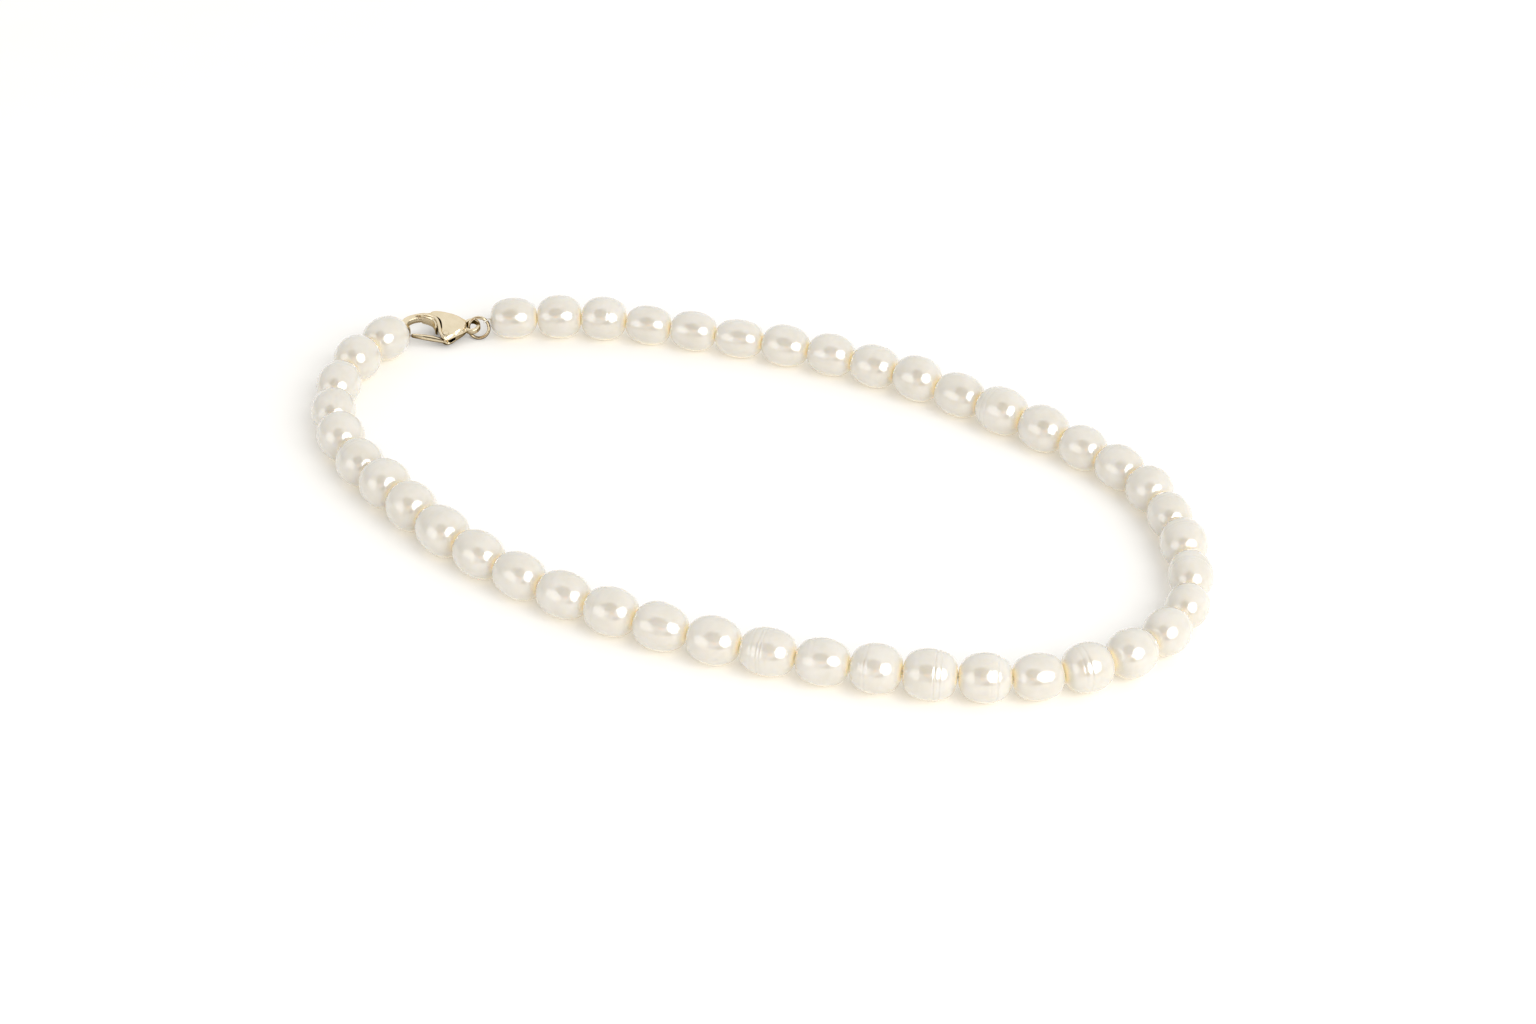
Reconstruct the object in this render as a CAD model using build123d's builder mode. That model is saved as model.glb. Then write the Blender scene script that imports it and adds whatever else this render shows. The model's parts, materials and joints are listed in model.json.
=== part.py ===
"""Pearl necklace: 44 drilled freshwater pearls strung close together, closed by a lobster claw clasp.

The frame stands on the surface that the necklace lies on: +Z up, +X along the longer side of the loop,
origin under the middle of the loop. Millimetres.
"""

import os
from math import acos, cos, degrees, radians, sin

from build123d import *

os.makedirs("parts", exist_ok=True)

# --- Strand ---------------------------------------------------------------------------------------------
# Each pearl as (length along the thread, diameter across it, where its widest ring lies along its length)
PEARLS = [
    (9.3, 8.2, 0.50), (8.7, 8.6, 0.50), (8.9, 8.7, 0.48), (9.0, 7.8, 0.50), (9.1, 7.9, 0.52),
    (9.5, 7.7, 0.50), (9.5, 8.2, 0.46), (9.2, 8.4, 0.50), (9.1, 8.5, 0.50), (9.3, 8.8, 0.52),
    (9.6, 8.3, 0.50), (9.5, 9.0, 0.54), (9.4, 8.9, 0.50), (8.8, 8.3, 0.50), (8.9, 8.3, 0.47),
    (8.3, 8.5, 0.50), (8.6, 8.1, 0.50), (8.9, 8.6, 0.50), (9.5, 8.0, 0.45), (8.6, 7.8, 0.50),
    (8.9, 8.3, 0.50), (9.0, 8.6, 0.53), (8.6, 8.7, 0.50), (8.6, 8.1, 0.50), (9.0, 8.7, 0.50),
    (9.1, 9.0, 0.52), (8.8, 8.9, 0.50), (9.3, 8.4, 0.50), (9.6, 8.4, 0.48), (9.5, 8.5, 0.50),
    (9.8, 8.5, 0.60), (9.4, 8.7, 0.50), (9.9, 8.4, 0.50), (9.6, 8.4, 0.46), (9.8, 8.5, 0.50),
    (10.0, 8.8, 0.42), (8.8, 9.2, 0.50), (8.6, 9.4, 0.50), (9.4, 8.8, 0.50), (9.5, 9.1, 0.55),
    (9.4, 8.6, 0.50), (9.7, 8.6, 0.50), (9.0, 9.0, 0.50), (9.0, 8.7, 0.52),
]
# How full a pearl's shoulders are: 1 is an ellipse, and less is nearer a barrel
PEARL_FULLNESS = 0.86
HOLE_DIAMETER = 0.8
# Where a pearl's outline is drawn through, as shares of the angle from its widest ring to its hole's mouth
SKIN_SHARES = (-1, -0.75, -0.5, -0.25, 0, 0.25, 0.5, 0.75, 1)
THREAD_DIAMETER = 0.3
THREAD_BEND = 6.0
# The thread's turn round a ring's wire, in the plane across the wire, with x towards the pearl
THREAD_TURN = [(0.1, 0.55), (-0.55, 0.5), (-0.55, -0.5), (0.2, -0.55)]
THREAD_TURN_BEND = 0.22
THREAD_HOLD_ANGLE = 45.0

# The line that the drill holes follow, seen from above, from the first pearl to the last
ROUTE = [
    (-71.7, 28.3), (-63.6, 32.8), (-55.5, 36.9), (-46.0, 40.0), (-37.7, 41.8), (-19.2, 45.4), (0.0, 47.0),
    (18.8, 45.8), (38.3, 42.0), (56.5, 37.4), (64.9, 33.6), (71.7, 28.3), (77.1, 21.6), (82.4, 13.7),
    (86.2, 4.8), (87.0, -4.1), (85.1, -12.9), (80.7, -20.7), (74.7, -27.0), (67.4, -32.2), (59.2, -36.2),
    (41.6, -41.3), (22.8, -44.9), (3.0, -46.4), (-16.8, -45.2), (-36.2, -40.7), (-54.4, -33.2),
    (-62.4, -29.4), (-70.5, -24.8), (-77.5, -18.8), (-83.2, -10.9), (-86.5, -1.9), (-86.9, 7.5),
    (-85.25, 16.65),
]
FIRST_MOUTH_HEIGHT = 3.95
LAST_MOUTH_HEIGHT = 4.1

# --- Clasp ----------------------------------------------------------------------------------------------
CLAW_EYE = (-75.0, 26.4, 2.4)
CLAW_HEADING = 206.0
CLAW_TILT = 16.0
BULB_THICKNESS = 2.6
HOOK_THICKNESS = 1.4
SLOT_THICKNESS = 1.2
EYE_OUTER_RADIUS = 1.75
EYE_HOLE_RADIUS = 1.1
EYE_THICKNESS = 1.1
HOOK_OUTSIDE = [
    (1.2, -1.1), (3.4, -2.2), (5.6, -2.8), (8.6, -2.9), (11.2, -2.65), (13.2, -1.8), (14.35, -0.1),
    (14.25, 1.7), (13.4, 3.0), (12.3, 3.4),
]
HOOK_INSIDE = [(12.3, 2.1), (12.95, 1.4), (13.05, 0.4), (12.5, -0.7), (11.0, -1.4), (8.6, -1.5), (1.3, -0.2)]
BULB_OUTLINE = [
    (1.0, -0.3), (3.2, -2.0), (5.6, -2.8), (8.4, -2.75), (8.6, -1.7), (6.9, -0.7), (6.1, 0.9), (5.9, 2.8),
    (5.3, 4.1), (4.3, 4.2), (2.9, 3.1), (1.3, 1.4),
]
BULB_CHAMFER = 0.35
SLOT_OUTLINE = [(2.9, 2.2), (3.6, 0.2), (5.0, -1.0), (8.8, -1.0), (8.8, 5.4), (3.4, 5.4)]
PIVOT = (4.8, 3.1)
KNUCKLE_RADIUS = 0.8
GATE_OUTLINE = [(4.8, 2.3), (8.2, 2.25), (12.2, 2.2), (12.2, 3.2), (9.0, 3.9), (5.0, 3.9)]
TAB_OUTLINE = [(4.4, 3.6), (5.4, 3.7), (4.6, 5.0), (3.9, 4.9)]
SPRING_LINE = [(3.6, 1.6), (3.9, 0.6), (5.0, -0.2), (6.2, 0.4), (6.6, 2.1)]
RIVET_RADIUS = 0.35
RIVET_HEAD_RADIUS = 0.6
RIVET_HEAD_HEIGHT = 0.12
PIVOT_CLEARANCE = 0.05
LEVER_THICKNESS = 1.0
SPRING_WIDTH = 0.8
SPRING_THICKNESS = 0.14

# --- Rings ----------------------------------------------------------------------------------------------
JUMP_RING_RADIUS = 2.05
JUMP_RING_WIRE = 0.65
JUMP_RING_MIDDLE = (-73.6, 26.8)
JUMP_RING_LEAN = 25.0
JUMP_RING_SEAM = 1.5
JUMP_RING_SEAM_AT = 100.0
CATCH_RING_RADIUS = 1.6
CATCH_RING_WIRE = 0.6
CATCH_RING_MIDDLE = (-85.48, 18.4)
CATCH_RING_HEADING = -78.8
RING_CLEARANCE = 0.02


def level_direction(heading):
    return Vector(cos(radians(heading)), sin(radians(heading)), 0)


# --- Where each pearl sits on the thread ------------------------------------------------------------------
route = Edge.make_spline([Vector(x, y) for x, y in ROUTE])
string_length = sum(length for length, _, _ in PEARLS)
gap = (route.length - string_length) / (len(PEARLS) - 1)

mouths = []
travelled = 0.0
for length, _, _ in PEARLS:
    mouths.append(travelled)
    travelled += length + gap
joints = [0.0] + [start - gap / 2 for start in mouths[1:]] + [route.length]

heights = [FIRST_MOUTH_HEIGHT]
for before, after in zip(PEARLS, PEARLS[1:]):
    heights.append((before[1] + after[1]) / 4)
heights.append(LAST_MOUTH_HEIGHT)

stations = []
for distance, height in zip(joints, heights):
    spot = route.position_at(distance, position_mode=PositionMode.LENGTH)
    stations.append(Vector(spot.X, spot.Y, height))

print(f"route {route.length:.2f} mm, pearls {string_length:.2f} mm, gap {gap:.3f} mm")


# --- Pearls -----------------------------------------------------------------------------------------------
def pearl_plane(number):
    """The upright plane through a resting pearl's drill hole, with its y along the thread."""
    start, end = stations[number - 1], stations[number]
    along = (end - start).normalized()
    across = (Vector(0, 0, 1) - along * along.Z).normalized()
    middle = (start + end) / 2
    return Plane(
        origin=(middle.X, middle.Y, PEARLS[number - 1][1] / 2),
        x_dir=across,
        z_dir=across.cross(along),
    )


def pearl_skin(length, diameter, belly, angle):
    """A point of a pearl's outline: across and along the drill hole, from its first end to its last."""
    share = belly if angle < 0 else 1 - belly
    widest = length * (belly - 0.5)
    across = diameter / 2 * cos(radians(angle)) ** PEARL_FULLNESS
    return (across, widest + length * share * sin(radians(angle)))


def make_pearl(number):
    """A full-shouldered, slightly egg-shaped drilled pearl: its outline turned about the drill hole."""
    length, diameter, belly = PEARLS[number - 1]
    mouth_angle = degrees(acos((HOLE_DIAMETER / diameter) ** (1 / PEARL_FULLNESS)))
    skin_points = [pearl_skin(length, diameter, belly, mouth_angle * share) for share in SKIN_SHARES]
    plane = pearl_plane(number)
    with BuildPart() as pearl:
        with BuildSketch(plane):
            with BuildLine():
                skin = Spline(*skin_points)
                Line(skin @ 1, skin @ 0)
            make_face()
        revolve(axis=Axis(plane.origin, plane.y_dir))
    pearl.part.label = f"pearl_{number:02d}"
    return pearl.part


for number in range(1, len(PEARLS) + 1):
    export_step(make_pearl(number), f"parts/pearl_{number:02d}.step")


# --- Rings ------------------------------------------------------------------------------------------------
def ring_plane(middle, heading, lean, radius, wire):
    """The plane of a ring that stands on the surface, x along its heading and y up to its leaning top."""
    sideways = level_direction(heading)
    back = sideways.rotate(Axis.Z, 90)
    top = Vector(0, 0, cos(radians(lean))) + back * sin(radians(lean))
    height = radius * cos(radians(lean)) + wire / 2 + RING_CLEARANCE
    return Plane(origin=(*middle, height), x_dir=sideways, z_dir=sideways.cross(top))


def ring_point(plane, radius, turn):
    return plane.from_local_coords(Vector(radius * cos(radians(turn)), radius * sin(radians(turn)), 0))


jump_ring_heading = CLAW_HEADING - 180
jump_plane = ring_plane(
    JUMP_RING_MIDDLE, jump_ring_heading, JUMP_RING_LEAN, JUMP_RING_RADIUS, JUMP_RING_WIRE
)
catch_plane = ring_plane(CATCH_RING_MIDDLE, CATCH_RING_HEADING, 0, CATCH_RING_RADIUS, CATCH_RING_WIRE)

jump_seam_start = Plane(
    origin=ring_point(jump_plane, JUMP_RING_RADIUS, JUMP_RING_SEAM_AT),
    z_dir=jump_plane.z_dir.cross(ring_point(jump_plane, 1, JUMP_RING_SEAM_AT) - jump_plane.origin),
)
with BuildPart() as jump_ring:
    with BuildSketch(jump_seam_start):
        Circle(JUMP_RING_WIRE / 2)
    revolve(axis=Axis(jump_plane.origin, jump_plane.z_dir), revolution_arc=360 - JUMP_RING_SEAM)
jump_ring.part.label = "jump_ring"
export_step(jump_ring.part, "parts/jump_ring.step")

with BuildPart() as catch_ring:
    with BuildSketch(Plane(origin=ring_point(catch_plane, CATCH_RING_RADIUS, 0), z_dir=catch_plane.y_dir)):
        Circle(CATCH_RING_WIRE / 2)
    revolve(axis=Axis(catch_plane.origin, catch_plane.z_dir))
catch_ring.part.label = "catch_ring"
export_step(catch_ring.part, "parts/catch_ring.step")


# --- Thread -----------------------------------------------------------------------------------------------
def thread_loop(plane, radius, mouth):
    """The points of the thread's turn round a ring's wire, starting from the pearl's mouth."""
    hold = ring_point(plane, radius, THREAD_HOLD_ANGLE)
    out = (mouth - hold).normalized()
    wire_way = plane.z_dir.cross(hold - plane.origin).normalized()
    turn = Plane(origin=hold, x_dir=out, z_dir=wire_way - out * out.dot(wire_way))
    return [turn.from_local_coords(Vector(*point, 0)) for point in THREAD_TURN]


first_loop = thread_loop(jump_plane, JUMP_RING_RADIUS, stations[0])
last_loop = thread_loop(catch_plane, CATCH_RING_RADIUS, stations[-1])
thread_points = [*reversed(first_loop), *stations, *last_loop]
turn_bends = [THREAD_TURN_BEND] * len(THREAD_TURN)
thread_bends = turn_bends + [THREAD_BEND] * (len(stations) - 2) + turn_bends
with BuildPart() as thread:
    with BuildLine():
        FilletPolyline(*thread_points, radius=thread_bends)
    with BuildSketch(Plane(origin=thread_points[0], z_dir=thread_points[1] - thread_points[0])):
        Circle(THREAD_DIAMETER / 2)
    sweep()
thread.part.label = "thread"
export_step(thread.part, "parts/thread.step")


# --- Clasp ------------------------------------------------------------------------------------------------
# The clasp is drawn in its own plane: x from the tail eye to the hook, y to the gate side, z to the top face.
claw_way = level_direction(CLAW_HEADING)
claw_side = claw_way.rotate(Axis.Z, 90)
claw_top = Vector(0, 0, cos(radians(CLAW_TILT))) + claw_side * sin(radians(CLAW_TILT))
claw_plane = Plane(origin=CLAW_EYE, x_dir=claw_way, z_dir=claw_top)


def claw_level(height):
    return claw_plane.offset(height)


with BuildPart() as claw_body:
    with BuildSketch(claw_level(-HOOK_THICKNESS / 2)):
        with BuildLine():
            Spline(*HOOK_OUTSIDE)
            Line(HOOK_OUTSIDE[-1], HOOK_INSIDE[0])
            Spline(*HOOK_INSIDE)
            Line(HOOK_INSIDE[-1], HOOK_OUTSIDE[0])
        make_face()
    extrude(amount=HOOK_THICKNESS)
    with BuildSketch(claw_level(-BULB_THICKNESS / 2)):
        with BuildLine():
            Spline(*BULB_OUTLINE, periodic=True)
        make_face()
    extrude(amount=BULB_THICKNESS)
    broad_faces = claw_body.faces().filter_by(Axis(claw_plane.origin, claw_plane.z_dir))
    chamfer(broad_faces.group_by(SortBy.AREA)[-1].edges(), BULB_CHAMFER)
    with BuildSketch(claw_level(-EYE_THICKNESS / 2)):
        Circle(EYE_OUTER_RADIUS)
    extrude(amount=EYE_THICKNESS)
    with BuildSketch(claw_level(-BULB_THICKNESS / 2)):
        Circle(EYE_HOLE_RADIUS)
    extrude(amount=BULB_THICKNESS, mode=Mode.SUBTRACT)
    with BuildSketch(claw_level(-SLOT_THICKNESS / 2)):
        Polygon(*SLOT_OUTLINE, align=None)
    extrude(amount=SLOT_THICKNESS, mode=Mode.SUBTRACT)
    with BuildSketch(claw_level(-BULB_THICKNESS)):
        with Locations(PIVOT):
            Circle(RIVET_RADIUS)
    extrude(amount=2 * BULB_THICKNESS, mode=Mode.SUBTRACT)
claw_body.part.label = "claw_body"
export_step(claw_body.part, "parts/claw_body.step")

with BuildPart() as claw_lever:
    with BuildSketch(claw_level(-LEVER_THICKNESS / 2)):
        with Locations(PIVOT):
            Circle(KNUCKLE_RADIUS)
        Polygon(*GATE_OUTLINE, align=None)
        Polygon(*TAB_OUTLINE, align=None)
        with Locations(PIVOT):
            Circle(RIVET_RADIUS + PIVOT_CLEARANCE, mode=Mode.SUBTRACT)
    extrude(amount=LEVER_THICKNESS)
claw_lever.part.label = "claw_lever"
export_step(claw_lever.part, "parts/claw_lever.step")

with BuildPart() as lever_rivet:
    with BuildSketch(claw_level(-BULB_THICKNESS / 2)):
        with Locations(PIVOT):
            Circle(RIVET_RADIUS)
    extrude(amount=BULB_THICKNESS)
    for level in (-BULB_THICKNESS / 2 - RIVET_HEAD_HEIGHT, BULB_THICKNESS / 2):
        with BuildSketch(claw_level(level)):
            with Locations(PIVOT):
                Circle(RIVET_HEAD_RADIUS)
        extrude(amount=RIVET_HEAD_HEIGHT)
lever_rivet.part.label = "lever_rivet"
export_step(lever_rivet.part, "parts/lever_rivet.step")

with BuildPart() as lever_spring:
    with BuildLine(claw_plane) as leaf:
        Spline(*SPRING_LINE)
    with BuildSketch(Plane(origin=leaf.line @ 0, x_dir=claw_plane.z_dir, z_dir=leaf.line % 0)):
        Rectangle(SPRING_WIDTH, SPRING_THICKNESS)
    sweep(path=leaf.line)
lever_spring.part.label = "lever_spring"
export_step(lever_spring.part, "parts/lever_spring.step")
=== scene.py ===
"""Looks of the pearl necklace: 44 nacre pearls on a silk thread with a gold lobster claw clasp."""

import json
import math
import random

import bpy
import numpy as np
from mathutils import Matrix, Vector


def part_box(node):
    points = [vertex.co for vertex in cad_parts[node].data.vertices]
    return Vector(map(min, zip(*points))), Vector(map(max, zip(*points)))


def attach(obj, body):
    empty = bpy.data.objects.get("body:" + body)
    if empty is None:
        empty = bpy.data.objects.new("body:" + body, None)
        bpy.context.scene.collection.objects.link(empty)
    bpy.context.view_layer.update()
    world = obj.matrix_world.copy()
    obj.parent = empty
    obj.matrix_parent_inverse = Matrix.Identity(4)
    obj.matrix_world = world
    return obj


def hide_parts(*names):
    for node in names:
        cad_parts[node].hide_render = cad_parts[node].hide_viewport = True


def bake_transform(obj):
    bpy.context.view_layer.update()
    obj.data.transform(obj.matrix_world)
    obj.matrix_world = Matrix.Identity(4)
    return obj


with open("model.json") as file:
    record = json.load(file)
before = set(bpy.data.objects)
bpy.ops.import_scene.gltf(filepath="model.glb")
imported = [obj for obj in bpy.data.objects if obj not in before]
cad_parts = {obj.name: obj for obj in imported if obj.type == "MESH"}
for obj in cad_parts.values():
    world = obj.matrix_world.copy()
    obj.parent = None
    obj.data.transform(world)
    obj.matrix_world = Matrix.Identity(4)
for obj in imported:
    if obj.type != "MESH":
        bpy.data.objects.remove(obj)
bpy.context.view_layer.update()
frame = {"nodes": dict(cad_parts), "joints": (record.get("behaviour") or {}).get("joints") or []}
MM = 0.001
PEARL_COUNT = 44


# --- Camera ---------------------------------------------------------------------------------------------
CAMERA_AZIMUTH = 27.0
CAMERA_ELEVATION = 34.9
CAMERA_DISTANCE = 0.5527
CAMERA_AIM = Vector((0.0060, -0.0016, 0.0))
CAMERA_LENS = 70.3
SENSOR_WIDTH = 36.0
CLIP_START, CLIP_END = 0.01, 20.0


def away_from(azimuth, elevation):
    """The direction from the object towards a viewer or a light at this azimuth and elevation, in degrees."""
    around, up = math.radians(azimuth), math.radians(elevation)
    return Vector((math.sin(around) * math.cos(up), -math.cos(around) * math.cos(up), math.sin(up)))


def make_camera():
    data = bpy.data.cameras.new("camera")
    data.lens = CAMERA_LENS
    data.sensor_width = SENSOR_WIDTH
    data.clip_start, data.clip_end = CLIP_START, CLIP_END
    camera = bpy.data.objects.new("camera", data)
    bpy.context.scene.collection.objects.link(camera)
    back = away_from(CAMERA_AZIMUTH, CAMERA_ELEVATION)
    camera.location = CAMERA_AIM + back * CAMERA_DISTANCE
    camera.rotation_mode = "QUATERNION"
    camera.rotation_quaternion = (-back).to_track_quat("-Z", "Y")
    bpy.context.scene.camera = camera


# --- Node helpers ---------------------------------------------------------------------------------------
def new_material(name):
    material = bpy.data.materials.new(name)
    material.use_nodes = True
    tree = material.node_tree
    return material, tree, tree.nodes["Principled BSDF"]


def add_node(tree, kind, **values):
    """A node whose inputs, by name, and properties are set from values."""
    node = tree.nodes.new(kind)
    for name, value in values.items():
        if name in node.inputs:
            node.inputs[name].default_value = value
        else:
            setattr(node, name, value)
    return node


def colour_ramp(tree, factor, stops):
    """A colour ramp read at factor; stops are (place, (r, g, b))."""
    ramp = tree.nodes.new("ShaderNodeValToRGB")
    while len(ramp.color_ramp.elements) < len(stops):
        ramp.color_ramp.elements.new(0.5)
    for element, (place, colour) in zip(ramp.color_ramp.elements, stops):
        element.position = place
        element.color = (*colour, 1.0)
    tree.links.new(factor, ramp.inputs["Fac"])
    return ramp.outputs["Color"]


def mix_colour(tree, factor, first, second, blend="MIX"):
    """first and second mixed by factor; each may be a socket or an (r, g, b)."""
    node = tree.nodes.new("ShaderNodeMix")
    node.data_type = "RGBA"
    node.blend_type = blend
    sockets = [s for s in node.inputs if s.enabled]
    for socket, value in zip(sockets, (factor, first, second)):
        if isinstance(value, bpy.types.NodeSocket):
            tree.links.new(value, socket)
        elif isinstance(value, tuple):
            socket.default_value = (*value, 1.0)
        else:
            socket.default_value = value
    return [s for s in node.outputs if s.enabled][0]


def add_pattern(tree, kind, **values):
    """A procedural pattern that stays where it is on the object, as a number from 0 to 1."""
    pattern = add_node(tree, kind, **values)
    place = add_node(tree, "ShaderNodeTexCoord")
    tree.links.new(place.outputs["Object"], pattern.inputs["Vector"])
    return pattern.outputs["Fac"]


def set_inputs(node, values):
    """Sets a node's own sockets, by name, to numbers or colours that are the same all over."""
    for name, value in values.items():
        node.inputs[name].default_value = value


def vary_roughness(tree, shader, factor, smooth, rough):
    """Roughness that goes from smooth to rough as factor goes from 0 to 1."""
    spread = add_node(tree, "ShaderNodeMapRange")
    set_inputs(spread, {"To Min": smooth, "To Max": rough})
    tree.links.new(factor, spread.inputs["Value"])
    tree.links.new(spread.outputs["Result"], shader.inputs["Roughness"])


def raise_bumps(tree, shader, height, strength, distance):
    """Fine relief on the surface, up to distance metres high at a strength of 1."""
    bump = add_node(tree, "ShaderNodeBump", Strength=strength, Distance=distance)
    tree.links.new(height, bump.inputs["Height"])
    tree.links.new(bump.outputs["Normal"], shader.inputs["Normal"])


# --- Materials ------------------------------------------------------------------------------------------
BLACK, WHITE = (0.0, 0.0, 0.0), (1.0, 1.0, 1.0)


def nacre_material():
    """Warm white nacre: a milky, cloudy body under a clear lustre.

    Its edges carry a painted tan sheen, and its creases a painted warm glow that is lighter and emits a
    little light.
    """
    material, tree, shader = new_material("nacre")
    clouds = add_pattern(tree, "ShaderNodeTexNoise", Scale=260.0, Detail=3.0, Roughness=0.5)
    body = colour_ramp(
        tree, clouds,
        [(0.30, (0.575, 0.558, 0.505)), (0.50, (0.60, 0.587, 0.545)), (0.72, (0.622, 0.614, 0.585))],
    )
    # Painted glow: where neighbours close in, the colour turns lighter and warmer and the surface emits faint
    # warm light, standing in for light bounced and passed between pearls.
    crease = add_node(tree, "ShaderNodeAmbientOcclusion", Distance=0.0030, samples=4)
    painted_glow_mask = colour_ramp(tree, crease.outputs["AO"], [(0.20, WHITE), (0.62, BLACK)])
    body = mix_colour(tree, painted_glow_mask, body, (0.93, 0.84, 0.64))
    through = mix_colour(tree, painted_glow_mask, BLACK, (1.0, 0.89, 0.66))
    tree.links.new(through, shader.inputs["Emission Color"])
    # Painted sheen: the colour turns tan and darker where the surface turns away from the viewer.
    facing = add_node(tree, "ShaderNodeLayerWeight", Blend=0.35).outputs["Facing"]
    painted_rim_sheen = colour_ramp(
        tree, facing, [(0.0, (1.0, 0.97, 0.94)), (0.60, (1.0, 0.985, 0.96)), (1.0, (0.95, 0.88, 0.76))],
    )
    tree.links.new(mix_colour(tree, 1.0, body, painted_rim_sheen, "MULTIPLY"), shader.inputs["Base Color"])
    vary_roughness(tree, shader, clouds, 0.18, 0.30)
    grain = add_pattern(tree, "ShaderNodeTexNoise", Scale=1500.0, Detail=4.0, Roughness=0.6)
    raise_bumps(tree, shader, grain, 0.06, 0.00004)
    set_inputs(shader, {
        # Emission Strength sets how brightly the painted crease glow lights itself.
        "Emission Strength": 0.10,
        "Subsurface Weight": 1.0,
        "Subsurface Radius": (1.0, 0.84, 0.58),
        "Subsurface Scale": 0.0026,
        "IOR": 1.6,
        "Specular IOR Level": 0.3,
        "Coat Weight": 1.0,
        "Coat Roughness": 0.045,
        "Coat IOR": 2.25,
    })
    return material


def gold_material():
    """Polished pale gold with fine rubbing marks, with painted shade darkening its hollows."""
    material, tree, shader = new_material("gold")
    tint = add_pattern(tree, "ShaderNodeTexNoise", Scale=420.0, Detail=3.0)
    colour = colour_ramp(tree, tint, [(0.3, (0.75, 0.645, 0.455)), (0.7, (0.83, 0.725, 0.54))])
    # Painted shade: the colour goes nearly black where the surface is hemmed in, in hollows and under edges.
    hollow = add_node(tree, "ShaderNodeAmbientOcclusion", Distance=0.0040, samples=12)
    painted_hollow_shade = colour_ramp(
        tree, hollow.outputs["AO"], [(0.28, (0.04, 0.03, 0.01)), (0.48, (0.26, 0.19, 0.08)), (0.72, WHITE)],
    )
    tree.links.new(mix_colour(tree, 1.0, colour, painted_hollow_shade, "MULTIPLY"), shader.inputs["Base Color"])
    rubbing = add_pattern(tree, "ShaderNodeTexNoise", Scale=2600.0, Detail=5.0, Roughness=0.7)
    vary_roughness(tree, shader, rubbing, 0.07, 0.15)
    raise_bumps(tree, shader, rubbing, 0.02, 0.00002)
    set_inputs(shader, {"Metallic": 1.0, "Specular Tint": (0.70, 0.54, 0.28, 1.0)})
    return material


def spring_material():
    """Straw-coloured spring strip, with lines along its rolling."""
    material, tree, shader = new_material("spring_strip")
    lines = add_pattern(
        tree, "ShaderNodeTexWave", Scale=3000.0, Distortion=2.0, Detail=2.0, bands_direction="Z",
    )
    colour = colour_ramp(tree, lines, [(0.0, (0.60, 0.56, 0.48)), (1.0, (0.72, 0.68, 0.60))])
    tree.links.new(colour, shader.inputs["Base Color"])
    set_inputs(shader, {"Metallic": 1.0, "Roughness": 0.3})
    return material


def silk_material():
    """Off-white silk with fine fibres along the ply."""
    material, tree, shader = new_material("silk")
    fibres = add_pattern(tree, "ShaderNodeTexNoise", Scale=9000.0, Detail=2.0)
    colour = colour_ramp(tree, fibres, [(0.3, (0.80, 0.76, 0.66)), (0.7, (0.92, 0.90, 0.83))])
    tree.links.new(colour, shader.inputs["Base Color"])
    raise_bumps(tree, shader, fibres, 0.3, 0.00003)
    set_inputs(shader, {"Roughness": 0.55, "Sheen Weight": 0.4})
    return material


def floor_material():
    """White paper sweep with barely visible mottling, faintly glowing warm as painted light."""
    material, tree, shader = new_material("white_sweep")
    mottle = add_pattern(tree, "ShaderNodeTexNoise", Scale=60.0, Detail=4.0)
    colour = colour_ramp(tree, mottle, [(0.3, (0.800, 0.797, 0.790)), (0.7, (0.812, 0.809, 0.802))])
    tree.links.new(colour, shader.inputs["Base Color"])
    set_inputs(shader, {
        "Roughness": 0.85,
        "Specular IOR Level": 0.2,
        # Painted light: the floor glows faintly warm, which lifts the shadows on it and tints them tan.
        "Emission Color": (1.0, 0.96, 0.88, 1.0),
        "Emission Strength": 0.14,
    })
    return material


MATERIALS = {
    "nacre": nacre_material(),
    "gold": gold_material(),
    "spring": spring_material(),
    "silk": silk_material(),
}


# --- Mesh helpers ---------------------------------------------------------------------------------------
def link_mesh(name, vertices, faces):
    """A new smooth-shaded object from vertices and faces."""
    mesh = bpy.data.meshes.new(name)
    mesh.from_pydata([tuple(v) for v in vertices], [], faces)
    mesh.validate()
    mesh.update()
    mesh.shade_smooth()
    piece = bpy.data.objects.new(name, mesh)
    bpy.context.scene.collection.objects.link(piece)
    return piece


def finish_piece(piece, slot, body, *nodes):
    """Gives a piece its material and slot, lets it ride on body, and hides the CAD nodes it stands for."""
    piece.data.materials.clear()
    piece.data.materials.append(MATERIALS[slot])
    if body:
        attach(piece, body)
    if nodes:
        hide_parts(*nodes)
    return piece


def ring_of_faces(rows, around, closed_rows):
    """Quads between rows of points that each go once round; closed_rows joins the last row to the first."""
    faces = []
    for row in range(rows if closed_rows else rows - 1):
        following = (row + 1) % rows
        for step in range(around):
            after = (step + 1) % around
            near, far = row * around, following * around
            faces.append((near + step, near + after, far + after, far + step))
    return faces


def node_points(name):
    """A CAD node's points, one row each."""
    mesh = frame["nodes"][name].data
    points = np.empty(len(mesh.vertices) * 3, np.float32)
    mesh.vertices.foreach_get("co", points)
    return points.reshape(-1, 3).astype(float)


def joint_place(name):
    """Where a joint's axis is at rest."""
    return Vector(next(joint["pos_m"] for joint in frame["joints"] if joint["name"] == name))


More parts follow.
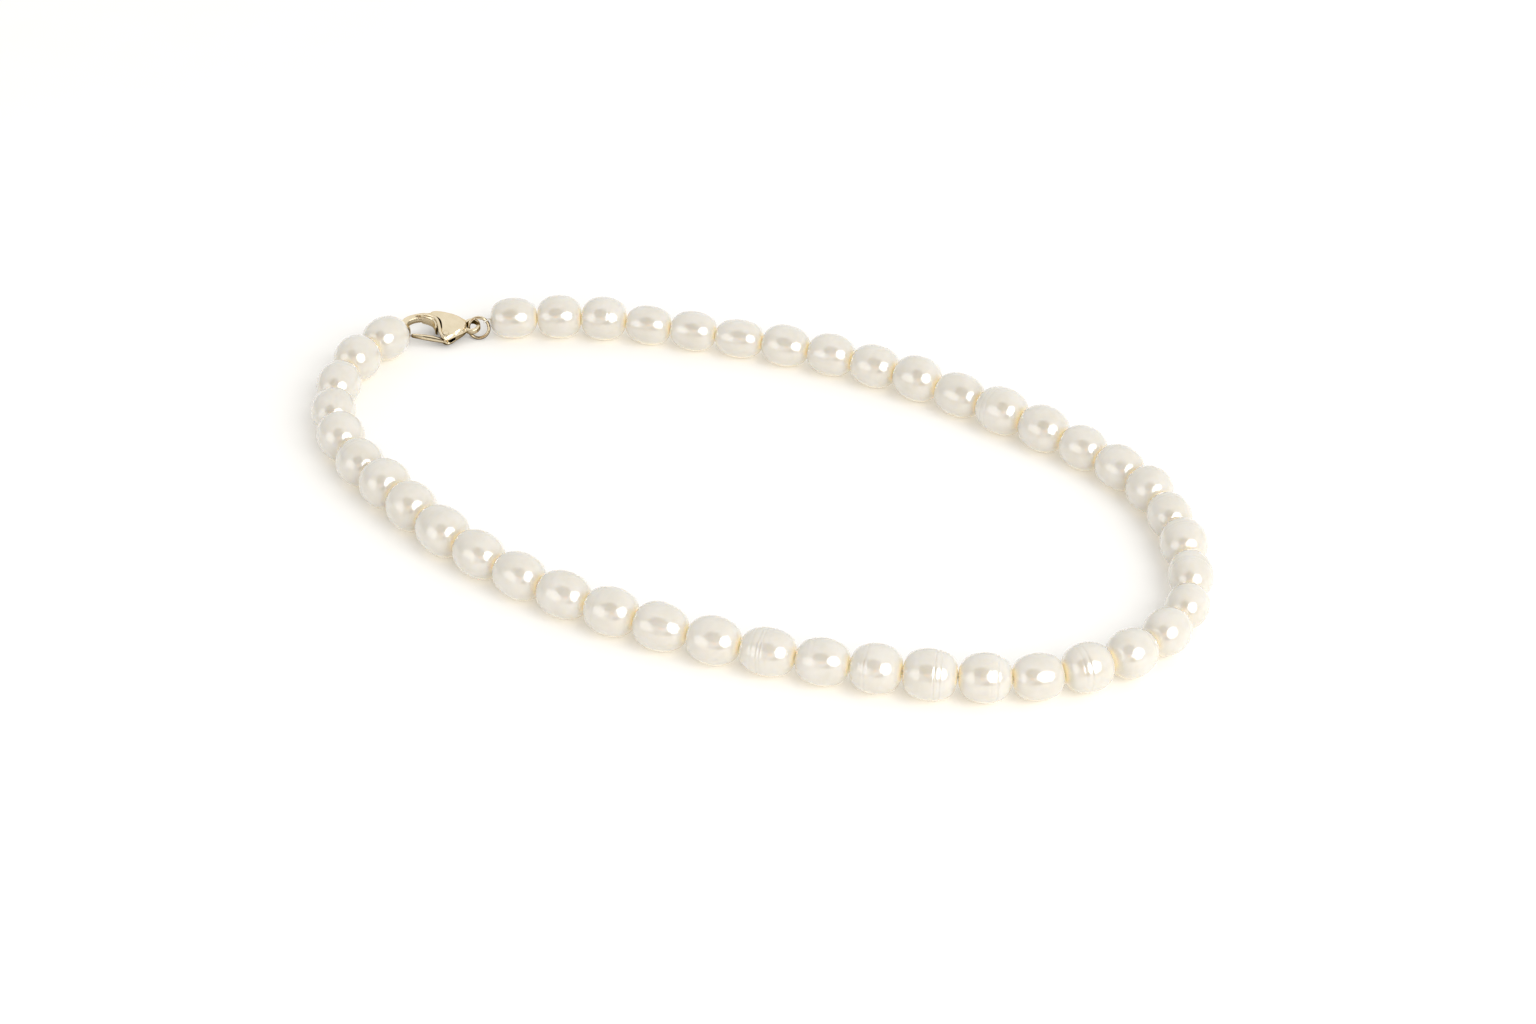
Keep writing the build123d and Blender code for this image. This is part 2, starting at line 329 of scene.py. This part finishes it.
# --- Pearls ---------------------------------------------------------------------------------------------
# Growth rings, by pearl: (place along the pearl from -1 to 1, depth mm, half width mm, which side it is
# deepest on in degrees from the top, or None for all the way round)
GROWTH_RINGS = {
    3: [(0.30, 0.020, 0.30, None)],
    6: [(-0.35, 0.020, 0.25, 0)],
    9: [(0.40, 0.025, 0.35, None)],
    12: [(-0.50, 0.070, 0.14, None), (-0.26, 0.055, 0.12, None)],
    13: [(-0.35, 0.030, 0.30, 20), (-0.10, 0.015, 0.15, 20)],
    15: [(-0.38, 0.060, 0.14, -30), (-0.15, 0.040, 0.12, -30), (0.25, 0.015, 0.20, None)],
    17: [(-0.28, 0.035, 0.20, 0), (-0.06, 0.022, 0.14, 0)],
    18: [(-0.22, 0.040, 0.13, 20), (-0.04, 0.026, 0.11, 20)],
    19: [(-0.05, 0.085, 0.15, None), (0.12, 0.055, 0.12, None)],
    22: [(-0.52, 0.060, 0.18, None)],
    23: [(0.22, 0.070, 0.22, None), (0.45, 0.040, 0.22, None)],
    25: [(-0.42, 0.085, 0.14, None), (0.35, 0.020, 0.30, None)],
    26: [(-0.20, 0.110, 0.15, None), (-0.40, 0.070, 0.15, None), (0.45, 0.030, 0.30, None)],
    27: [(0.32, 0.060, 0.18, None), (0.52, 0.025, 0.20, None)],
    28: [(0.30, 0.050, 0.22, 20), (0.52, 0.030, 0.20, 20)],
    29: [(0.48, 0.050, 0.22, None), (0.22, 0.065, 0.13, None), (0.09, 0.050, 0.11, None),
         (-0.10, 0.025, 0.20, None)],
    32: [(0.40, 0.040, 0.28, None)],
    34: [(-0.30, 0.018, 0.30, None)],
    38: [(0.40, 0.120, 0.12, None), (0.56, 0.060, 0.10, None)],
    39: [(0.35, 0.060, 0.13, None), (0.12, 0.035, 0.11, None)],
    42: [(0.30, 0.060, 0.60, 10)],
}
# Dents, by pearl: (place along the pearl, side in degrees from the top, depth mm, size mm)
DENTS = {
    7: [(-0.05, 10, 0.05, 0.45)],
    20: [(-0.30, -20, 0.03, 0.60)],
    31: [(0.50, -30, 0.05, 1.00)],
    33: [(0.30, -20, 0.06, 0.30), (0.38, 10, 0.04, 0.25), (0.15, -35, 0.04, 0.25)],
    36: [(0.15, -25, 0.05, 0.28), (0.22, -15, 0.04, 0.24)],
    41: [(0.35, -15, 0.06, 1.10)],
}
# How full a pearl's shoulders are, where it isn't an average one: 1 is an ellipse, less is a barrel
FULLNESS = {
    2: 0.64, 6: 0.68, 12: 0.62, 19: 0.80, 20: 0.82, 21: 0.82, 22: 0.82, 24: 0.62, 25: 0.74, 26: 0.60,
    27: 0.70, 28: 0.74, 29: 0.66, 31: 0.78, 37: 0.72, 39: 0.78, 40: 0.80, 41: 0.82, 42: 0.82, 43: 0.82,
}
AVERAGE_FULLNESS = (0.64, 0.76)
# Every pearl's lumps: (largest share of its radius, how many go round it), and what each draws by chance
LUMPS = [(0.012, 1), (0.012, 2), (0.008, 2), (0.006, 3), (0.003, 5)]
LUMP_SHARE = (0.6, 1.0)
LUMP_LEAN = (-0.8, 0.8)
# Every pearl's faint ripples, and what each draws by chance
RIPPLE_COUNT = 7
RIPPLE_PLACE = (-0.8, 0.8)
RIPPLE_DEPTH = (0.003, 0.010)
RIPPLE_WIDTH = (0.12, 0.35)
RING_WANDER = 0.05 * MM
FULL_TURN = (0, 2 * math.pi)
FIRST_SEED = 1000
# Neighbours rest against each other, so each pearl's skin reaches this far into the gap at either end
END_SWELL = 0.08 * MM
ROUND_ROWS, RINGED_ROWS, ROUND_STEPS = 64, 150, 96
HOLE_RADIUS = 0.4 * MM
MOUTH_EDGE = 0.06 * MM
# Where the drill hole's wall has its rows of points, from its last mouth to its first
BORE_SHARES = (0.0, 0.15, 0.5, 0.85, 1.0)
# CAD points off the axis by this share of the largest radius, or more, count as the widest place
GIRTH_SHARE = 0.9995


def pearl_axis(number):
    """The direction of a pearl's drill hole, from its first end to its last."""
    name = f"pearl_{number:02d}"
    low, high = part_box(name)
    before = joint_place(f"strand_bend_{number - 1:02d}") if number > 1 else (low + high) / 2
    after = joint_place(f"strand_bend_{number:02d}") if number < PEARL_COUNT else (low + high) / 2
    return (after - before).normalized()


def pearl_half_length(number):
    """Half of a pearl's length along its drill hole."""
    along = node_points(f"pearl_{number:02d}") @ np.array(pearl_axis(number))
    return (along.max() - along.min()) / 2


def pearl_measures(number):
    """From a pearl's CAD solid: its middle, its directions, its largest radius and where, and its ends."""
    name = f"pearl_{number:02d}"
    axis = np.array(pearl_axis(number))
    top = np.array([0.0, 0.0, 1.0]) - axis * axis[2]
    top /= np.linalg.norm(top)
    side = np.cross(axis, top)
    low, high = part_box(name)
    middle = np.array((low + high) / 2)
    points = node_points(name) - middle
    along = points @ axis
    off = np.linalg.norm(points - np.outer(along, axis), axis=1)
    girth = off.max()
    widest = along[off > girth * GIRTH_SHARE].mean()
    ends = along.min() - END_SWELL, along.max() + END_SWELL
    return middle, (axis, top, side), girth, widest, ends


def pearl_nature(number):
    """How full a pearl's shoulders are, and the lumps, ripples and rings' wander that it has by chance."""
    chance = random.Random(FIRST_SEED + number)
    power = FULLNESS.get(number, chance.uniform(*AVERAGE_FULLNESS))
    lumps = [
        (size * chance.uniform(*LUMP_SHARE), order, chance.uniform(*FULL_TURN), chance.uniform(*LUMP_LEAN))
        for size, order in LUMPS
    ]
    ripples = []
    for _ in range(RIPPLE_COUNT):
        place, depth = chance.uniform(*RIPPLE_PLACE), chance.uniform(*RIPPLE_DEPTH) * MM
        ripples.append((place, depth, chance.uniform(*RIPPLE_WIDTH) * MM))
    return power, lumps, ripples, chance.uniform(*FULL_TURN)


def add_lumps(radius, turn, share, fade, lumps):
    """Swells and flattens a row of radii; share is the row's place along the pearl, from -1 to 1."""
    for size, order, phase, lean in lumps:
        radius *= 1 + size * fade * np.sin(order * turn + phase + lean * share * 2)


def cut_rings(radius, turn, off, half, fade, rings, wander):
    """Sinks the growth rings into a row of radii that is off metres from the pearl's centre."""
    for where, depth, width, towards in rings:
        gap = off - where * half - RING_WANDER * np.sin(turn + wander)
        amount = np.exp(-((gap / (width * MM)) ** 2))
        if towards is not None:
            amount *= (0.5 + 0.5 * np.cos(turn - math.radians(towards))) ** 2
        radius -= depth * MM * fade * amount


def press_dents(radius, turn, off, half, girth, dents):
    """Presses the dents into a row of radii that is off metres from the pearl's centre."""
    for where, towards, depth, size in dents:
        sideways = girth * (np.remainder(turn - math.radians(towards) + math.pi, 2 * math.pi) - math.pi)
        gap = off - where * half
        radius -= depth * MM * np.exp(-(sideways**2 + gap**2) / (size * MM) ** 2)


def make_pearl(number):
    """A pearl on its CAD solid's axis, length and girth, with its own lumps, growth rings and dents."""
    name = f"pearl_{number:02d}"
    middle, (axis, top, side), girth, widest, ends = pearl_measures(number)
    power, lumps, ripples, wander = pearl_nature(number)
    rings, dents = GROWTH_RINGS.get(number, []), DENTS.get(number, [])
    angle_limit = math.acos((HOLE_RADIUS / girth) ** (1 / power))
    reach = ((widest - ends[0]) / math.sin(angle_limit), (ends[1] - widest) / math.sin(angle_limit))
    half, centre = (ends[1] - ends[0]) / 2, (ends[0] + ends[1]) / 2
    turn = np.arange(ROUND_STEPS) * 2 * math.pi / ROUND_STEPS
    spread = np.cos(turn)[:, None] * top + np.sin(turn)[:, None] * side
    rows = []
    row_count = RINGED_ROWS if rings or dents else ROUND_ROWS
    for row in range(row_count + 1):
        angle = -angle_limit + 2 * angle_limit * row / row_count
        place = widest + (reach[0] if angle < 0 else reach[1]) * math.sin(angle)
        off = place - centre
        fade = math.cos(angle) ** 0.5
        radius = np.full(ROUND_STEPS, girth * math.cos(angle) ** power)
        add_lumps(radius, turn, off / half, fade, lumps)
        for where, depth, width in ripples:
            radius -= depth * fade * math.exp(-(((off - where * half) / width) ** 2))
        cut_rings(radius, turn, off, half, fade, rings, wander)
        press_dents(radius, turn, off, half, girth, dents)
        radius = np.maximum(radius, HOLE_RADIUS + MOUTH_EDGE)
        rows.append(middle + axis * place + spread * radius[:, None])
    first = middle + axis * (ends[0] + MOUTH_EDGE) + spread * HOLE_RADIUS
    last = middle + axis * (ends[1] - MOUTH_EDGE) + spread * HOLE_RADIUS
    rows += [last + (first - last) * share for share in BORE_SHARES]
    piece = link_mesh(f"{name}_nacre", np.concatenate(rows), ring_of_faces(len(rows), ROUND_STEPS, True))
    return finish_piece(piece, "nacre", name, name)


# --- Thread ---------------------------------------------------------------------------------------------
PLY_COUNT = 3
PLY_RADIUS = 0.075 * MM
PLY_OFFSET = 0.078 * MM
PLY_PITCH = 0.9 * MM
PLY_SIDES = 8
THREAD_TUCK = 0.9 * MM
THREAD_STEP = 0.06 * MM
THREAD_CLEARANCE = 0.02 * MM


def smooth_path(points, step):
    """Points every step or so along a smooth curve through points."""
    points = [Vector(p) for p in points]
    padded = [points[0] * 2 - points[1], *points, points[-1] * 2 - points[-2]]
    path = []
    for a, b, c, d in zip(padded, padded[1:], padded[2:], padded[3:]):
        count = max(1, round((c - b).length / step))
        for i in range(count):
            t = i / count
            bend, twist = 2 * a - 5 * b + 4 * c - d, 3 * b - a - 3 * c + d
            path.append(0.5 * (2 * b + (c - a) * t + bend * t**2 + twist * t**3))
    path.append(points[-1])
    return path


def tube_frames(path):
    """For each point of a path: the point, and two directions across it that don't twist along it."""
    ways = [(b - a).normalized() for a, b in zip(path, path[1:])]
    ways.append(ways[-1])
    across = ways[0].orthogonal().normalized()
    frames = []
    for point, way in zip(path, ways):
        across = (across - way * across.dot(way)).normalized()
        frames.append((point, across, way.cross(across)))
    return frames


def twisted_thread(name, path):
    """Three plies twisted together along a path, with closed ends."""
    frames = tube_frames(path)
    vertices, faces = [], []
    for ply in range(PLY_COUNT):
        line = []
        travelled = 0.0
        for index, (point, first, second) in enumerate(frames):
            if index:
                travelled += (point - frames[index - 1][0]).length
            turn = 2 * math.pi * (travelled / PLY_PITCH + ply / PLY_COUNT)
            line.append(point + PLY_OFFSET * (first * math.cos(turn) + second * math.sin(turn)))
        start = len(vertices)
        for point, first, second in tube_frames(line):
            for corner in range(PLY_SIDES):
                turn = 2 * math.pi * corner / PLY_SIDES
                vertices.append(point + PLY_RADIUS * (first * math.cos(turn) + second * math.sin(turn)))
        faces += [tuple(start + i for i in face) for face in ring_of_faces(len(line), PLY_SIDES, False)]
        faces.append(tuple(start + i for i in reversed(range(PLY_SIDES))))
        faces.append(tuple(start + (len(line) - 1) * PLY_SIDES + i for i in range(PLY_SIDES)))
    return link_mesh(name, vertices, faces)


def make_thread_gap(number):
    """The stretch of thread between two pearls, bending at the gap as the strand does."""
    gap = joint_place(f"strand_bend_{number:02d}")
    before, after = pearl_axis(number), pearl_axis(number + 1)
    start, end = gap - before * THREAD_TUCK, gap + after * THREAD_TUCK
    piece = twisted_thread(f"thread_gap_{number:02d}", smooth_path([start, gap, end], THREAD_STEP))
    finish_piece(piece, "silk", None, *(["thread"] if number == 1 else []))
    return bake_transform(piece)


def make_thread_end(name, body, ring, pearl_number, mouth_way):
    """The thread out of an end pearl, round a ring's wire and back in; it rides on body."""
    centre, normal, radius, wire = ring_shape(ring)
    low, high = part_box(f"pearl_{pearl_number:02d}")
    axis = pearl_axis(pearl_number) * mouth_way
    mouth = (low + high) / 2 + axis * pearl_half_length(pearl_number)
    up = (Vector((0, 0, 1)) - normal * normal.z).normalized()
    level = up.cross(normal)
    if level.dot(mouth - centre) < 0:
        level = -level
    hold = centre + (level + up).normalized() * radius
    out = (mouth - hold).normalized()
    along_wire = normal.cross(hold - centre).normalized()
    past = (out - along_wire * out.dot(along_wire)).normalized()
    over = along_wire.cross(past)
    round_wire = wire + PLY_OFFSET + PLY_RADIUS + THREAD_CLEARANCE
    spread = PLY_OFFSET + PLY_RADIUS
    inside = mouth - axis * THREAD_TUCK
    route = [
        inside + over * spread, mouth + over * spread,
        hold + over * round_wire + past * spread, hold + (over - past).normalized() * round_wire,
        hold - past * round_wire, hold - (over + past).normalized() * round_wire,
        hold - over * round_wire + past * spread, mouth - over * spread, inside - over * spread,
    ]
    piece = finish_piece(twisted_thread(name, smooth_path(route, THREAD_STEP)), "silk", body)
    return piece, hold, inside


# --- Rings ----------------------------------------------------------------------------------------------
RING_STEPS, WIRE_STEPS = 160, 28
# A ring's middle isn't the mean of its points, so it is found again this many times
RING_FIT_ROUNDS = 4
# Half of an open ring's slit, as an angle round the ring, and how thick the wire's filed ends are
HALF_SLIT = 0.75 * math.pi / 180
FILED_END = 0.93


def ring_shape(node):
    """A ring's centre, axis, radius to the middle of its wire, and wire radius, from its CAD mesh."""
    points = node_points(node)
    centre = points.mean(axis=0)
    for _ in range(RING_FIT_ROUNDS):
        normal = np.linalg.svd(points - centre, full_matrices=False)[2][2]
        flat = (points - centre) - np.outer((points - centre) @ normal, normal)
        first = flat[0] / np.linalg.norm(flat[0])
        second = np.cross(normal, first)
        across, beside = flat @ first, flat @ second
        centre = centre + first * (across.max() + across.min()) / 2
        centre = centre + second * (beside.max() + beside.min()) / 2
    off = np.linalg.norm((points - centre) - np.outer((points - centre) @ normal, normal), axis=1)
    wire = (off.max() - off.min()) / 2
    return Vector(centre), Vector(normal), off.max() - wire, wire


def ring_opening(node, centre, normal):
    """Two directions across a ring, and the angle from the first at which an open one's slit is."""
    first = normal.orthogonal().normalized()
    second = normal.cross(first)
    points = node_points(node) - np.array(centre)
    angles = np.sort(np.arctan2(points @ np.array(second), points @ np.array(first)))
    gaps = np.diff(np.append(angles, angles[0] + 2 * math.pi))
    widest = int(gaps.argmax())
    return first, second, angles[widest] + gaps[widest] / 2


def make_ring(node, is_open):
    """A ring of round wire; an open one has two filed ends that nearly meet."""
    centre, normal, radius, wire = ring_shape(node)
    first, second, middle = ring_opening(node, centre, normal)
    slit = HALF_SLIT if is_open else 0.0
    span = 2 * math.pi - 2 * slit
    count = RING_STEPS + 1 if is_open else RING_STEPS
    vertices = []
    for step in range(count):
        angle = middle + slit + span * step / RING_STEPS
        out = first * math.cos(angle) + second * math.sin(angle)
        at_end = is_open and step in (0, RING_STEPS)
        thick = wire * (FILED_END if at_end else 1.0)
        for corner in range(WIRE_STEPS):
            turn = 2 * math.pi * corner / WIRE_STEPS
            beside = normal * thick * math.sin(turn)
            vertices.append(centre + out * (radius + thick * math.cos(turn)) + beside)
    faces = ring_of_faces(count, WIRE_STEPS, not is_open)
    if is_open:
        faces.append(tuple(reversed(range(WIRE_STEPS))))
        faces.append(tuple((count - 1) * WIRE_STEPS + i for i in range(WIRE_STEPS)))
    piece = link_mesh(f"{node}_wire", vertices, faces)
    return finish_piece(piece, "gold", node, node)


# --- Clasp ----------------------------------------------------------------------------------------------
# Millimetres in the clasp's own plane: x from the tail eye to the hook, y to the gate's side, z up from it
PIVOT = (4.8, 3.1)
CAST_GRAIN = 0.07
CAST_EVENNESS = 0.5
CLAW_ROUNDS, LEVER_ROUNDS, RIVET_ROUNDS = 7, 6, 3
LIP_LINE = [(11.2, -2.1, 0.8), (9.7, -1.95, 1.2), (8.3, -1.45, 1.4), (7.25, -0.65, 1.45), (6.6, 0.45, 1.45),
            (6.2, 1.8, 1.4), (5.9, 3.0, 1.3), (5.3, 4.0, 1.15), (4.7, 4.4, 0.8)]
LIP_RADIUS = 0.33
LIP_END_RADIUS = LIP_RADIUS * 0.8
BACK_LINE = [(1.6, -0.9, 0.0), (3.4, -1.9, 0.0), (5.6, -2.35, 0.0), (8.4, -2.3, 0.0), (10.2, -2.2, 0.0)]
BACK_RADII = [0.55, 0.8, 0.95, 0.9, 0.7]
ARM_LINE = [(9.6, -2.2, 0.0), (11.2, -2.0, 0.0), (12.7, -1.35, 0.0), (13.6, -0.1, 0.0), (13.6, 1.2, 0.0),
            (13.05, 2.2, 0.0), (12.5, 2.75, 0.0)]
ARM_RADII = [0.78, 0.74, 0.72, 0.68, 0.62, 0.55, 0.48]
FRONT_LINE = [(1.2, 1.1, 0.0), (2.2, 2.1, 0.35), (3.3, 3.1, 0.55), (4.3, 3.95, 0.6), (4.9, 4.3, 0.4)]
FRONT_RADII = [0.5, 0.55, 0.5, 0.42, 0.35]
WALL_LINE = [(10.0, -1.8), (8.8, -1.35), (7.8, -0.7), (7.15, 0.3), (6.95, 1.25)]
WALL_LEVELS = (-0.8, -0.35, 0.1, 0.55, 0.9)
WALL_RADIUS = 0.34
GATE_LINE = [(11.55, 2.72, 0.0), (9.6, 3.05, 0.0), (7.4, 3.5, 0.0), (5.3, 4.05, 0.0)]
GATE_RADII = [0.42, 0.58, 0.60, 0.48]
KNUCKLE_LINE = [(5.6, 3.85, 0.0), (5.2, 3.5, 0.0), (4.8, 3.1, 0.0)]
KNUCKLE_RADII = [0.48, 0.48, 0.48]
TAB_LINE = [(5.0, 4.05, 0.0), (4.6, 4.4, 0.0), (4.3, 4.65, 0.0)]
TAB_RADII = [0.46, 0.42, 0.36]
SHIELD_DOME = 0.30
SHIELD_LEVEL, SHIELD_BLEND = 0.9, 0.3
SHIELD_MIDDLE, SHIELD_REACH = (5.3, -0.6), (3.6, 3.2)
# A cast bar's points: how far apart its rows are, and the rows of its round ends, which stop short of a point
BAR_STEP = 0.12
BAR_SIDES = 24
CAP_STEPS = 5
CAP_TIP = 0.002


def clasp_frame():
    """The matrix from the clasp's own millimetres to the part's metres, from its CAD hinge."""
    hinge = next(joint for joint in frame["joints"] if joint["name"] == "claw_lever_hinge")
    top = -Vector(hinge["axis"]).normalized()
    way = Vector((0, 0, 1)).cross(top).normalized()
    way = -way if way.x > 0 else way
    side = top.cross(way)
    centre = Vector(hinge["pos_m"]) - (way * PIVOT[0] + side * PIVOT[1]) * MM
    matrix = Matrix((way, side, top)).transposed().to_4x4() * MM
    matrix.translation = centre
    matrix[3][3] = 1.0
    return matrix


CLASP = clasp_frame()


def cap_rows(end, inner, frame_there, radius):
    """The rows of a bar's half-round cap, from its tip inwards, and how wide each is."""
    out = (end - inner).normalized()
    turns = [math.pi / 2 * step / CAP_STEPS for step in range(CAP_STEPS)]
    rows = [(end + out * radius * math.cos(turn), *frame_there[1:]) for turn in turns]
    return rows, [radius * math.sin(turn) + CAP_TIP for turn in turns]


def rounded_bar(points, radii):
    """A bar with rounded ends along a smooth line, in clasp millimetres: its vertices and faces."""
    line = smooth_path(points, BAR_STEP)
    spots = np.linspace(0, len(radii) - 1, len(line))
    thick = [float(width) for width in np.interp(spots, np.arange(len(radii)), radii)]
    frames = tube_frames(line)
    first_cap, first_widths = cap_rows(line[0], line[1], frames[0], thick[0])
    last_cap, last_widths = cap_rows(line[-1], line[-2], frames[-1], thick[-1])
    rows = first_cap + frames + last_cap[::-1]
    widths = first_widths + thick + last_widths[::-1]
    vertices = []
    for (point, first, second), width in zip(rows, widths):
        for corner in range(BAR_SIDES):
            turn = 2 * math.pi * corner / BAR_SIDES
            vertices.append(point + width * (first * math.cos(turn) + second * math.sin(turn)))
    faces = ring_of_faces(len(rows), BAR_SIDES, False)
    faces.append(tuple(reversed(range(BAR_SIDES))))
    faces.append(tuple((len(rows) - 1) * BAR_SIDES + i for i in range(BAR_SIDES)))
    return vertices, faces


def cast_piece(name, node, body, bars, rounds, shape=None, keeps_solid=True):
    """A cast and polished piece: its CAD solid, if keeps_solid, and any bars, melted together and smoothed.

    rounds is how many times it is smoothed. shape, if given, moves each point in clasp millimetres.
    """
    inverse = CLASP.inverted()
    source = frame["nodes"][node].data
    vertices = [inverse @ v.co for v in source.vertices] if keeps_solid else []
    faces = [tuple(p.vertices) for p in source.polygons] if keeps_solid else []
    for bar_vertices, bar_faces in bars:
        start = len(vertices)
        vertices += bar_vertices
        faces += [tuple(start + i for i in face) for face in bar_faces]
    piece = link_mesh(name, vertices, faces)
    melt = piece.modifiers.new("melt", "REMESH")
    melt.mode = "VOXEL"
    melt.voxel_size = CAST_GRAIN
    even = piece.modifiers.new("even", "SMOOTH")
    even.factor = CAST_EVENNESS
    even.iterations = rounds
    made = bpy.data.meshes.new_from_object(piece.evaluated_get(bpy.context.evaluated_depsgraph_get()))
    piece.modifiers.clear()
    piece.data = made
    for vertex in made.vertices:
        if shape:
            vertex.co = shape(vertex.co)
        vertex.co = CLASP @ vertex.co
    made.shade_smooth()
    return finish_piece(piece, "gold", body, node)


def dome_shield(point):
    """The claw's broad face stands up in its middle."""
    if point.z < SHIELD_LEVEL:
        return point
    x = (point.x - SHIELD_MIDDLE[0]) / SHIELD_REACH[0]
    y = (point.y - SHIELD_MIDDLE[1]) / SHIELD_REACH[1]
    rise = max(0.0, 1 - x * x - y * y) * SHIELD_DOME * min(1.0, (point.z - SHIELD_LEVEL) / SHIELD_BLEND)
    return Vector((point.x, point.y, point.z + rise))


def make_claw():
    """The hook with its lip, back, arm, front and inner wall, the lever that shuts it, and the rivet."""
    lip = rounded_bar(LIP_LINE, [LIP_END_RADIUS] + [LIP_RADIUS] * (len(LIP_LINE) - 2) + [LIP_END_RADIUS])
    back = rounded_bar(BACK_LINE, BACK_RADII)
    arm = rounded_bar(ARM_LINE, ARM_RADII)
    front = rounded_bar(FRONT_LINE, FRONT_RADII)
    walls = [
        rounded_bar([(x, y, level) for x, y in WALL_LINE], [WALL_RADIUS] * len(WALL_LINE))
        for level in WALL_LEVELS
    ]
    gate = rounded_bar(GATE_LINE, GATE_RADII)
    knuckle = rounded_bar(KNUCKLE_LINE, KNUCKLE_RADII)
    tab = rounded_bar(TAB_LINE, TAB_RADII)
    hook, lever = [lip, back, arm, front, *walls], [gate, knuckle, tab]
    cast_piece("claw_body_cast", "claw_body", "claw", hook, CLAW_ROUNDS, dome_shield)
    cast_piece("claw_lever_cast", "claw_lever", "lever", lever, LEVER_ROUNDS, keeps_solid=False)
    cast_piece("lever_rivet_head", "lever_rivet", "claw", [], RIVET_ROUNDS)


def finish_spring():
    """The leaf spring keeps its CAD shape and gets its own material."""
    spring = frame["nodes"]["lever_spring"].data
    spring.materials.clear()
    spring.materials.append(MATERIALS["spring"])


# --- Run ------------------------------------------------------------------------------------------------
make_camera()
for number in range(1, PEARL_COUNT + 1):
    make_pearl(number)
for number in range(1, PEARL_COUNT):
    make_thread_gap(number)
start_loop, start_hold, start_inside = make_thread_end("thread_start", None, "jump_ring", 1, -1)
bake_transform(start_loop)
make_thread_end("thread_finish", f"pearl_{PEARL_COUNT}", "catch_ring", PEARL_COUNT, 1)
make_ring("jump_ring", True)
make_ring("catch_ring", False)
make_claw()
finish_spring()


# --- Stage ----------------------------------------------------------------------------------------------
FLOOR_HALF = 3.0
ROOM_LIGHT = (0.72, 0.715, 0.70)
# What the studio holds round the object, each laid over those before it: (azimuth, elevation, the degrees
# from its middle up to which it is full, the degrees at which it has faded away, colour)
STUDIO_PATCHES = {
    "ceiling": (165.0, 60.0, 20.0, 110.0, (1.04, 1.035, 1.02)),
    "window": (-33.0, 15.0, 14.0, 30.0, (1.8, 1.8, 1.78)),
    "dark_room": (2.0, 56.0, 17.0, 28.0, (0.12, 0.095, 0.06)),
    "dark_table": (30.0, 8.0, 7.0, 16.0, (0.10, 0.085, 0.07)),
    "warm_spot": (13.0, 30.0, 4.0, 9.0, (1.15, 0.55, 0.18)),
}
KEY_AZIMUTH, KEY_ELEVATION, KEY_DISTANCE = 62.0, 33.0, 1.2
KEY_SIZE = 1.12
KEY_POWER = 11.0
KEY_COLOUR = (1.0, 0.995, 0.98)


def blob_factor(tree, way, azimuth, elevation, inner, outer):
    """1 where way points within inner degrees of a direction, falling to 0 at outer degrees."""
    dot = add_node(tree, "ShaderNodeVectorMath", operation="DOT_PRODUCT")
    tree.links.new(way, dot.inputs[0])
    dot.inputs[1].default_value = away_from(azimuth, elevation)
    fade = add_node(tree, "ShaderNodeMapRange", interpolation_type="SMOOTHSTEP")
    fade.inputs["From Min"].default_value = math.cos(math.radians(outer))
    fade.inputs["From Max"].default_value = math.cos(math.radians(inner))
    tree.links.new(dot.outputs["Value"], fade.inputs["Value"])
    return fade.outputs["Result"]


def make_studio():
    """White all round, brighter overhead at the back, with a window and dark and warm things to reflect."""
    world = bpy.data.worlds.new("studio")
    bpy.context.scene.world = world
    world.use_nodes = True
    tree = world.node_tree
    way = add_node(tree, "ShaderNodeTexCoord").outputs["Generated"]
    light = ROOM_LIGHT
    for azimuth, elevation, inner, outer, colour in STUDIO_PATCHES.values():
        factor = blob_factor(tree, way, azimuth, elevation, inner, outer)
        light = mix_colour(tree, factor, light, colour)
    tree.links.new(light, tree.nodes["Background"].inputs["Color"])


def make_key_light():
    """One large round softbox, about as high as the viewer and to the viewer's right."""
    data = bpy.data.lights.new("key_octabox", "AREA")
    data.shape = "DISK"
    data.size = KEY_SIZE
    data.energy = KEY_POWER
    data.color = KEY_COLOUR
    light = bpy.data.objects.new("key_octabox", data)
    bpy.context.scene.collection.objects.link(light)
    out = away_from(KEY_AZIMUTH, KEY_ELEVATION)
    light.location = out * KEY_DISTANCE
    light.rotation_mode = "QUATERNION"
    light.rotation_quaternion = (-out).to_track_quat("-Z", "Y")


def make_stage():
    corners = [(x * FLOOR_HALF, y * FLOOR_HALF, 0) for x, y in ((-1, -1), (1, -1), (1, 1), (-1, 1))]
    floor = link_mesh("floor", corners, [(0, 1, 2, 3)])
    floor.data.materials.append(floor_material())
    make_studio()
    make_key_light()


make_stage()
bpy.context.scene.view_settings.view_transform = "Standard"
